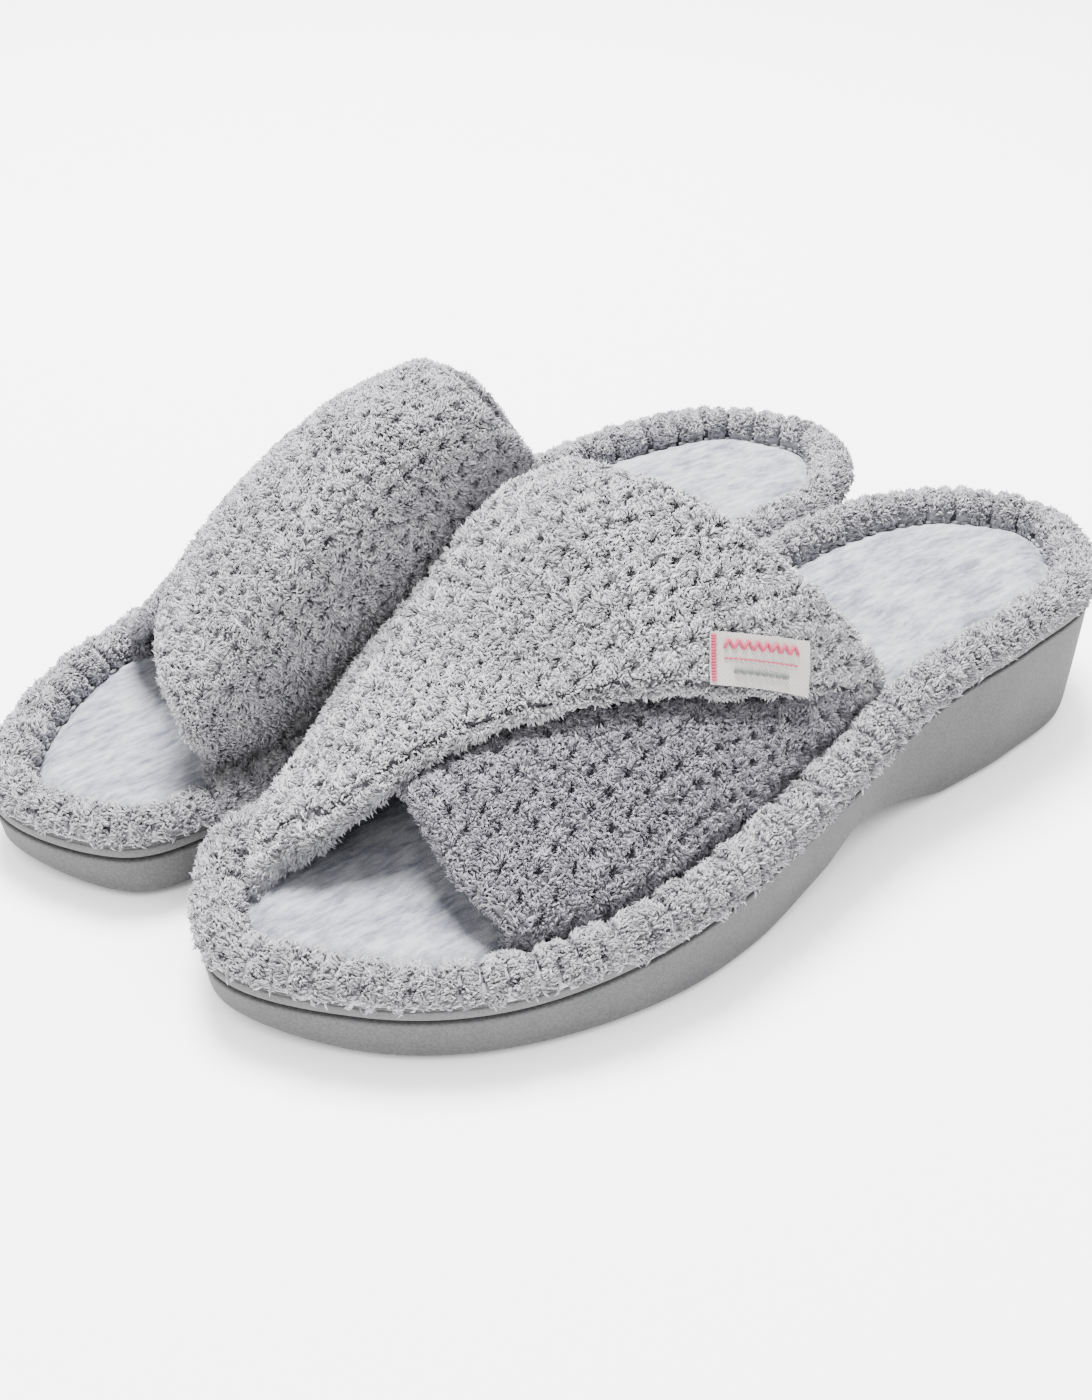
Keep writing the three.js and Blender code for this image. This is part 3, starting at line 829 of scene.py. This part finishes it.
def stitches(name, side, path, thick, material, replaces=(), share=0.72):
    """A row of short rounded stitches along a path of points."""
    centre = (path[:-1] + path[1:]) / 2
    run = path[1:] - path[:-1]
    length = np.linalg.norm(run, axis=1)
    direction = run / length[:, None]
    e, f = basis(direction)
    sides = 6
    angles = 2 * np.pi * np.arange(sides) / sides
    stations = [(-0.5, 0.35), (-0.36, 0.9), (0, 1.0), (0.36, 0.9), (0.5, 0.35)]
    rings = []
    for at, size in stations:
        for angle in angles:
            arm = (e * math.cos(angle) + f * math.sin(angle)) * thick / 2 * size
            rings.append(centre + direction * (at * share * length)[:, None] + arm)
    points = np.stack(rings, 1)
    each = len(stations) * sides
    quads = grid_faces(len(stations), sides, False, True)
    ends = np.array([list(range(sides))[::-1], list(range(each - sides, each))])
    first = np.arange(len(centre))[:, None, None] * each
    faces = [(quads[None] + first).reshape(-1, 4), (ends[None] + first).reshape(-1, sides)]
    faces = side.facing(faces)
    piece = mesh_object(name, side.place(points.reshape(-1, 3)), faces)
    return finish_piece(piece, [material], replaces)


def perimeter_stitches(side):
    """Lock stitches in the valley between rim and footbed."""
    u = np.linspace(0, 1, 161)
    xy = ring(u, np.full(161, 10.6))
    path = np.column_stack([xy, band_top(xy[:, 1]) - 1.1])
    name = f"{side.name}_footbed_stitches"
    return stitches(name, side, path, 0.9, GREY_THREAD, [f"{side.name}_perimeter_seam"])


# ---------------------------------------------------------------- rim

# How far the terry reaches down over the band, along the slipper.
TERRY_DROP = through([
    (-132.5, -0.4), (-95, 0), (-60, 1.3), (-25, 2.7), (35, 2.7), (62, 1.2), (90, 0.1),
    (132.5, -0.3),
])
SCALLOP_DEPTH = through([(-132.5, 0.35), (-60, 0.5), (30, 0.8), (85, 1.5), (132.5, 1.7)])
SCALLOP_PITCH = 10.6
SCALLOP_HALF = 1.0  # half the width of a pinch
RIM_PIT = {"up": 4.2, "half": 1.1, "deep": 0.9}  # a dimple between two pinches
TUFTS_PER_MM2 = 4.6


def terry_look(light, mid, dark):
    """The size of the tufts, and the shares of light, mid and dark yarn."""
    return {"length": 2.4, "radius": 0.34, "tilt": 1.0, "seed": 11, "tones": [light, mid, dark]}


def rim_section():
    """Round the roll's section: inset, share of the terry's drop, and height."""
    middle = (RIM_OUTER + RIM_INNER) / 2
    half = (RIM_INNER - RIM_OUTER) / 2
    angles = np.linspace(0, np.pi, 17)
    section = [(RIM_OUTER + 0.7, -1.0, 0), (RIM_OUTER, -0.9, 0), (RIM_OUTER, -0.45, 0)]
    section += [(middle - half * np.cos(a), 0, RIM_TALL * np.sin(a)) for a in angles]
    section += [(RIM_INNER, 0, -1.3), (RIM_INNER - 0.4, 0, -3.0), (RIM_OUTER + 2.2, -0.3, -0.6)]
    return section


def rim(side):
    """Terry rolled over a foam bead, pinched where its dimple rows cross the roll."""
    count = 560
    u = np.arange(count) / count
    line = ring(u)
    step = np.linalg.norm(np.roll(line, -1, 0) - line, axis=1)
    run = np.concatenate([[0], np.cumsum(step)[:-1]])
    girth = step.sum()
    pitch = girth / round(girth / SCALLOP_PITCH)
    y = line[:, 1]
    rows = []
    for inset, dropped, up in rim_section():
        xy = ring(u, np.full(count, inset))
        rows.append(np.column_stack([xy, band_top(y) + up + dropped * TERRY_DROP(y)]))
    grid = np.array(rows)
    around = np.linspace(0, 1, len(rows))[:, None]
    normals = -normals_of(grid, True, True)
    lengths = np.linalg.norm(np.diff(grid, axis=0), axis=2)
    up_cloth = np.concatenate([np.zeros((1, count)), np.cumsum(lengths, 0)])
    nearest = np.round(run / pitch)
    wander = hashed(nearest * 12.99, 4375.8) - 0.5
    off = run - nearest * pitch - wander * 2.2
    pinch = np.exp(-((off / SCALLOP_HALF) ** 2))
    depth = SCALLOP_DEPTH(y) * (0.75 + 0.5 * hashed(nearest * 7.7, 999))
    inside = smoothstep(0.25, 0.75, around)
    crease = pinch[None, :] * (0.35 + 0.65 * inside)
    off_pit = run - (np.round(run / pitch - 0.5) + 0.5) * pitch - wander * 1.5
    off_up = up_cloth - RIM_PIT["up"]
    pit = np.exp(-((off_pit[None, :] / RIM_PIT["half"]) ** 2) - (off_up / RIM_PIT["half"]) ** 2)
    dip = np.clip(crease + pit, 0, 1)
    off_rim = np.where(pit > crease, off_pit[None, :], off[None, :])
    lumps = (noise(grid, 7.5, 21) - 0.5) * 1.1 + (noise(grid, 3.0, 22) - 0.5) * 0.7
    loose = np.ones((len(rows), 1))
    loose[[0, -2, -1]] = 0  # these rows are out of sight and stay put
    moved = -crease * depth[None, :] - pit * RIM_PIT["deep"] + lumps
    grid = grid + normals * (moved * loose)[..., None]
    normals = -normals_of(grid, True, True)
    tangent = unit(np.roll(grid, -1, 1) - np.roll(grid, 1, 1))
    away = np.concatenate([dip[..., None], tangent * off_rim[..., None]], -1)
    # Painted shade: faces deep in the pinches and pits take the near-black terry.
    slots = np.where((dip > 0.4).ravel(), 1, 0)
    cloth = np.stack([np.broadcast_to(run[None, :], up_cloth.shape), up_cloth], -1)
    cloth = cloth - [girth / 2, 0]
    faces = side.facing(turned([grid_faces(len(rows), count, True, True)]))
    points = grid.reshape(-1, 3)
    uv = cloth_uv(cloth.reshape(-1, 2))
    piece = mesh_object(f"{side.name}_rim_roll", side.place(points), faces, uv, slots)
    names = [f"{side.name}_rim_cover", f"{side.name}_rim_core"]
    finish_piece(piece, [TERRY_GROUND, TERRY_RECESS_PAINTED_SHADE], names)
    lower_edge = band_top(y) - 0.9 * TERRY_DROP(y)
    weight = loose * smoothstep(0, 0.9, grid[..., 2] - lower_edge)
    found = scatter(grid, normals, cloth, away, weight, wrap_columns=True)
    # The rim's yarn mix is darker than the over strap's: random tone, and partly painted shade on
    # the rim's sides.
    pile(f"{side.name}_rim_pile", side, found, terry_look(0.12, 0.7, 0.18), TERRY)


# ---------------------------------------------------------------- straps


# The left over strap's hem rolls under; the stuffed right one is pulled flat.
HEM_RADIUS = {"left": [(0, 0.8), (0.06, 1.0), (0.26, 1.2), (0.38, 2.9), (0.6, 3.2), (1, 2.8)]}
# Shares of light, mid and dark yarn for each strap. Besides random tone, the darker mixes of the
# under straps and the right over strap are painted shade.
YARN_SHARES_WITH_PAINTED_SHADE = {
    ("left", "over"): (0.66, 0.32, 0.02),
    ("left", "under"): (0.25, 0.6, 0.15),
    ("right", "over"): (0.2, 0.65, 0.15),
    ("right", "under"): (0.3, 0.6, 0.1),
}


class Cloth:
    """Arc lengths over the arch, so that the terry's dimples keep their pitch. They are
    counted from the arch's ridge and from the station at middle_y."""

    first_y, last_y, middle_y = -125, 60, -40
    steps = 100  # across the arch; along it, a step is 1 mm

    def __init__(self, form):
        y = np.arange(self.first_y, self.last_y + 1.0)
        t = np.linspace(0, 1, self.steps + 1)
        grid = form(y[:, None] + 0 * t, t + 0 * y[:, None], 0.0)
        across = np.linalg.norm(np.diff(grid, axis=1), axis=2)
        along = np.linalg.norm(np.diff(grid, axis=0), axis=2)
        ridge = self.steps // 2
        self.a = np.concatenate([np.zeros((len(y), 1)), np.cumsum(across, 1)], 1)
        self.a -= self.a[:, ridge : ridge + 1]
        self.b = np.concatenate([np.zeros((1, len(t))), np.cumsum(along, 0)])
        self.b -= self.b[self.middle_y - self.first_y]

    def at(self, y, t):
        """Arc lengths across and along at station y, t across the arch."""
        i = np.clip(y - self.first_y, 0, self.last_y - self.first_y - 0.001)
        j = np.clip(t * self.steps, 0, self.steps - 0.001)
        i0, j0 = i.astype(int), j.astype(int)
        s, r = i - i0, j - j0

        def read(table):
            low = table[i0, j0] * (1 - r) + table[i0, j0 + 1] * r
            high = table[i0 + 1, j0] * (1 - r) + table[i0 + 1, j0 + 1] * r
            return low * (1 - s) + high * s

        return np.stack([read(self.a), read(self.b)], -1)


def arch_point(form, y, s, depth):
    """A point on the arch, where s below 0 or above 1 goes down into the valley."""
    point = form(y, np.clip(s, 0, 1), depth)
    sunk = np.clip(np.maximum(-s, s - 1), 0, 1)
    foot = band_top(y) - 2.2
    point[..., 2] = point[..., 2] * (1 - sunk) + foot * sunk
    return point


STRAP_FACE = 1.35  # how deep the ground cloth lies under the terry's surface
STRAP_HALF = 1.75  # half the thickness between face and lining
PILE_EDGE = 0.6  # how far the pile stands past the ground cloth's edges
STRAP_DIMPLE = 1.1  # depth of a sewn-in dimple
LINED_EDGE = {"front": 6.5, "rear": 4}  # how far the terry is turned in
ACROSS = 190
SINK = np.linspace(1, 0.2, 5)


def stations(form, front, rear):
    """Places across the arch at even steps of its girth, with the sunk ends added."""
    t = np.linspace(0, 1, 801)
    y = (front(t) + rear(t)) / 2
    run = np.linalg.norm(np.diff(form(y * 0 + y.mean(), t, 0.0), axis=0), axis=1)
    run = np.concatenate([[0], np.cumsum(run)])
    even = np.interp(np.linspace(0, run[-1], ACROSS), run, t)
    return np.concatenate([-SINK, even, 1 + SINK[::-1]])


def strap_rows(y_front, y_rear):
    """Rows round a strap's section, as (y, depth): outside, rear edge, lining, front edge."""
    start = y_front + STRAP_HALF
    run = y_rear - y_front - 2 * STRAP_HALF
    turn = np.linspace(-np.pi / 2, np.pi / 2, 9)[1:-1]

    def edge(middle, half, angles):
        return [
            (middle + half * math.cos(a), STRAP_FACE + STRAP_HALF * (1 + math.sin(a)))
            for a in angles
        ]

    outside = [(start + run * v, STRAP_FACE) for v in np.linspace(0, 1, 96)]
    lining = [(start + run * v, STRAP_FACE + 2 * STRAP_HALF) for v in np.linspace(1, 0, 34)]
    rear_edge = edge(y_rear - STRAP_HALF, STRAP_HALF, turn)
    front_edge = edge(start, -STRAP_HALF, turn[::-1])
    return outside, rear_edge, lining, front_edge


def strap(side, form, cloth_map, kind, depth_at, edges):
    """A padded strap: terry outside and round its edges, lining inside."""
    front, rear = (through(e) for e in edges)
    s = stations(form, front, rear)
    t = np.clip(s, 0, 1)
    y_front, y_rear = front(t) + PILE_EDGE, rear(t) - PILE_EDGE
    parts = strap_rows(y_front, y_rear)
    part_of = np.repeat(np.arange(len(parts)), [len(part) for part in parts])[:, None]
    outside, lining = part_of == 0, part_of == 2
    rows = [row for part in parts for row in part]
    y = np.array([row[0] for row in rows])
    depth = np.array([np.full(len(s), row[1]) for row in rows])
    depth = depth + depth_at(y, t[None, :] + 0 * y)
    grid = arch_point(form, y, s[None, :] + 0 * y, depth)
    cloth = cloth_map.at(y, t[None, :] + 0 * y)
    sunk = np.maximum(-s, s - 1).clip(0)
    cloth[..., 0] += np.where(s < 0.5, -1, 1) * sunk * 8
    normals = normals_of(grid, True, False)
    dip, step_a, step_b = dimples(cloth[..., 0], cloth[..., 1])
    dip = dip * outside
    puff = (noise(grid, 16, 31) - 0.5) * 1.1 + (noise(grid, 5, 32) - 0.5) * 0.5
    grid = grid + normals * (np.where(lining, 0, puff - dip * STRAP_DIMPLE))[..., None]
    normals = normals_of(grid, True, False)
    tangent_a = unit(np.gradient(grid, axis=1)) * step_a[..., None]
    tangent_b = unit(np.roll(grid, -1, 0) - np.roll(grid, 1, 0)) * step_b[..., None]
    away = (tangent_a + tangent_b) * outside[..., None]
    away = np.concatenate([dip[..., None], away], -1)
    count, columns = grid.shape[:2]
    hemmed = kind == "over" and side.name in HEM_RADIUS
    creased = hemmed & (y - y_front < STRAP_HALF * 0.9 + 0.2) & ~lining
    slots = np.repeat(lining.astype(int), columns - 1)
    # Painted shade: faces in the dimples and in the crease under the hem take the near-black terry.
    slots[(dip[:, :-1] > 0.35).ravel()] = 2
    slots[creased[:, :-1].ravel()] = 2
    slots = np.concatenate([slots, [0, 0]])
    faces = side.facing(tube_faces(count, columns))
    uv = cloth_uv(cloth.reshape(-1, 2))
    name = f"{side.name}_{kind}_strap"
    piece = mesh_object(name, side.place(grid.reshape(-1, 3)), faces, uv, slots)
    layers = [f"{name}_{layer}" for layer in ("face", "foam", "lining")]
    finish_piece(piece, [TERRY_GROUND, LINING_WITH_PAINTED_SHADE, TERRY_RECESS_PAINTED_SHADE], layers)
    near_front = (y - y_front) < LINED_EDGE["front"]
    near_rear = (y_rear - y) < LINED_EDGE["rear"]
    weight = np.where(lining, 0.8 * (near_front | near_rear), 1.0)
    weight *= (sunk < 0.9)[None, :]
    weight[creased] = 0.3
    return grid, normals, cloth, away, weight, y


def bead(side, form, front, name, radius_at):
    """The rolled hem along the over strap's front edge."""
    s = np.linspace(0.0, 1.0, 300)
    radius = radius_at(s)
    y = front(s) - 0.55 * radius - 0.2
    rows = []
    for a in np.linspace(0, 2 * np.pi, 15)[:-1]:
        rows.append(form(y - radius * np.cos(a), s, 2.3 + radius * (1 - np.sin(a))))
    grid = np.array(rows)
    centre = grid.mean(0)
    arms = unit(grid - centre)
    lump = (noise(grid, 4.5, 41) - 0.5) * 0.9
    grid = grid + arms * lump[..., None]
    count, columns = grid.shape[:2]
    run = np.concatenate([[0], np.cumsum(np.linalg.norm(np.diff(centre, axis=0), axis=1))])
    around = np.arange(count)[:, None] * 1.2 + 0 * run
    cloth = np.stack([run[None, :] - run[-1] / 2 + 0 * around, around + 300], -1)
    faces = tube_faces(count, columns)
    outward = (normals_of(grid, True, False) * arms).sum(-1).mean()
    if (outward < 0) != side.mirrored:
        faces = turned(faces)
    uv = cloth_uv(cloth.reshape(-1, 2))
    piece = mesh_object(name, side.place(grid.reshape(-1, 3)), faces, uv)
    finish_piece(piece, [TERRY_GROUND])
    weight = np.ones((count, columns))
    away = np.zeros((count, columns, 4))
    found = scatter(grid, arms, cloth, away, weight)
    pile(f"{name}_pile", side, found, terry_look(0.5, 0.4, 0.1), TERRY)


def upper(side):
    """Under strap, over strap with its hem, and the label."""
    table = UPPER[side.name]
    form = upper_form(table)
    cloth_map = Cloth(form)
    over_front = through(table["over"][0])

    def under_depth(y, t):
        free = UNDER_FREE_DEPTH * smoothstep(0, 0.15, t)
        covered = smoothstep(-15, -4, y - over_front(t)) * smoothstep(0, 0.07, t)
        return free + (UNDER_DEPTH - free) * covered

    def over_depth(y, t):
        return 0 * y

    for kind, depth_at, yarns in (
        ("under", under_depth, UNDER_TERRY_PAINTED_SHADE),
        ("over", over_depth, TERRY),
    ):
        made = strap(side, form, cloth_map, kind, depth_at, table[kind])
        grid, normals, cloth, away, weight, y = made
        if kind == "under":
            # The over strap hides the rest of it, up to its rear edge.
            front, rear = (through(e) for e in table[kind])
            t = np.clip(stations(form, front, rear), 0, 1)
            weight = weight * ((y - over_front(t) < 1) | (y > rear(t) - 3.5))
        found = scatter(grid, normals, cloth, away, weight)
        look = terry_look(*YARN_SHARES_WITH_PAINTED_SHADE[side.name, kind])
        pile(f"{side.name}_{kind}_pile", side, found, look, yarns)
    if side.name in HEM_RADIUS:
        bead(side, form, over_front, f"{side.name}_over_hem", through(HEM_RADIUS[side.name]))
    label(side, form, over_front)


# ---------------------------------------------------------------- label


def label_marks(side, top, normals):
    """Woven ornament in place of lettering: a zigzag, a plain line and a row of dashes."""
    rows, columns = top.shape[:2]

    def row_of(name, across, thick, thread, places):
        at = np.clip(np.round(places).astype(int), 4, columns - 5)
        line = np.clip(np.round(rows * across).astype(int) + 0 * at, 1, rows - 2)
        path = top[line, at] + normals[line, at] * 0.12
        return stitches(f"{side.name}_label_{name}", side, path, thick, thread, share=0.9)

    every = np.arange(5, columns - 4, 2)
    zigzag = np.where(np.arange(len(every)) % 2, 0.84, 0.62)
    return [
        row_of("zigzag", zigzag, 1.0, PINK_THREAD, every),
        row_of("line", 0.48, 0.45, PINK_THREAD, every),
        row_of("dashes", 0.24, 1.5, SAGE_THREAD, np.arange(9, columns - 8, 3)),
    ]


TAPE_THICK = 0.45


def label(side, form, front):
    """Woven tape label: folded and stitched at its front end, plain face."""
    columns, rows = 43, 19
    centre = np.array([front(LABEL["t"]) + LABEL["back"], LABEL["t"]])

    def at(y, t):
        return form(np.asarray(y, float), np.asarray(t, float), 0.0)

    per_y = at(centre[0] + 1, centre[1]) - at(*centre)
    per_t = (at(centre[0], centre[1] + 0.01) - at(*centre)) / 0.01
    slope = (front(centre[1] + 0.01) - front(centre[1])) / 0.01
    along = per_t + per_y * slope
    along /= np.linalg.norm(along)
    upwards = per_y - along * (per_y @ along)
    upwards /= np.linalg.norm(upwards)
    c = np.linspace(-0.5, 0.5, columns)[None, :]
    r = np.linspace(-0.5, 0.5, rows)[:, None]
    step = c[..., None] * LABEL["long"] * along + r[..., None] * LABEL["tall"] * upwards
    moved = step @ np.linalg.pinv(np.stack([per_y, per_t], 1)).T
    top = form(centre[0] + moved[..., 0], centre[1] + moved[..., 1], -0.9 + 0 * r)
    normals = normals_of(top)
    if normals[:, :, 2].mean() < 0:
        normals = -normals
    curl = 0.5 * smoothstep(0.30, 0.5, -c) + 0 * r
    wave = 0.15 * np.sin(c * 9) * np.cos(r * 4)
    top = top + normals * (curl + wave)[..., None]
    points, faces = slab(top, top - normals * TAPE_THICK)
    first = points[faces[0][0]]
    facing = np.dot(np.cross(first[1] - first[0], first[2] - first[1]), normals[0, 0])
    if (facing < 0) != side.mirrored:
        faces = turned(faces)
    piece = mesh_object(f"{side.name}_label_tape", side.place(points), faces, smooth=False)
    finish_piece(piece, [LABEL_TWILL], [f"{side.name}_label"])
    marks = label_marks(side, top, normals)
    fold_path = top[1:-1, -2] + normals[1:-1, -2] * 0.25
    name = f"{side.name}_label_fold"
    fold = stitches(name, side, fold_path, 1.3, PINK_THREAD, share=1.05)


# ---------------------------------------------------------------- the pair

PAIR_SHIFT = pair_shift()
for side in (Side("left"), Side("right")):
    outsole(side)
    sole_band(side)
    footbed(side)
    perimeter_stitches(side)
    rim(side)
    upper(side)

for name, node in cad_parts.items():
    for ending, material in (("midsole", EVA), ("insole_board", BOARD)):
        if name.endswith(ending):
            node.data.materials.clear()
            node.data.materials.append(material)

# ---------------------------------------------------------------- floor, light, camera


def floor():
    """Bright paper that glows, with a painted contact shadow dimming its glow close under the
    soles.
    """
    material, tree, shader = nodes_of("paper_floor")
    shader.inputs["Roughness"].default_value = 0.9
    shader.inputs["Specular IOR Level"].default_value = 0.1
    shader.inputs["Base Color"].default_value = (0.93, 0.93, 0.93, 1)
    shader.inputs["Emission Strength"].default_value = 2.6
    # Painted contact shadow: ambient occlusion dims the floor's glow under and beside the soles.
    near = add_node(tree, "ShaderNodeAmbientOcclusion", {"Distance": 0.05}, samples=16)
    shade = ramp(tree, near.outputs["AO"], (0.02, 0.02, 0.02), (1, 1, 1), 0.15, 0.85)
    tree.links.new(shade, shader.inputs["Emission Color"])
    bpy.ops.mesh.primitive_plane_add(size=12, location=(0, 0, -0.0002))
    plane = bpy.context.object
    plane.name = "floor"
    plane.data.materials.append(material)


def area_light(name, place, size, watts):
    """A round light that faces the origin."""
    data = bpy.data.lights.new(name, "AREA")
    data.shape = "DISK"
    data.size = size
    data.energy = watts
    lamp = bpy.data.objects.new(name, data)
    lamp.location = place
    lamp.rotation_euler = (-Vector(place)).to_track_quat("-Z", "Y").to_euler()
    bpy.context.scene.collection.objects.link(lamp)


def camera():
    """Stands at the outer front corner of the left slipper, looking down at the pair."""
    data = bpy.data.cameras.new("camera")
    data.lens = 42.58
    data.sensor_width = 36
    data.clip_start = 0.01
    viewer = bpy.data.objects.new("camera", data)
    place = Vector((0.28412, -0.22631, 0.26611))
    target = Vector((-0.01648, 0.00623, 0.0))
    turn = (target - place).to_track_quat("-Z", "Y")
    roll = Quaternion((0, 0, 1), math.radians(0.92))
    viewer.location = place
    viewer.rotation_mode = "QUATERNION"
    viewer.rotation_quaternion = turn @ roll
    bpy.context.scene.collection.objects.link(viewer)
    bpy.context.scene.camera = viewer


def studio():
    """Even white light from all round."""
    world = bpy.data.worlds.new("studio")
    world.use_nodes = True
    background = world.node_tree.nodes["Background"]
    background.inputs["Color"].default_value = (1, 1, 1, 1)
    background.inputs["Strength"].default_value = 0.5
    bpy.context.scene.world = world


floor()
studio()
area_light("key", (-0.5, 0.2, 1.5), 0.7, 105)
area_light("front", (0.6, -1.1, 0.9), 0.9, 5)
camera()

bpy.context.view_layer.update()
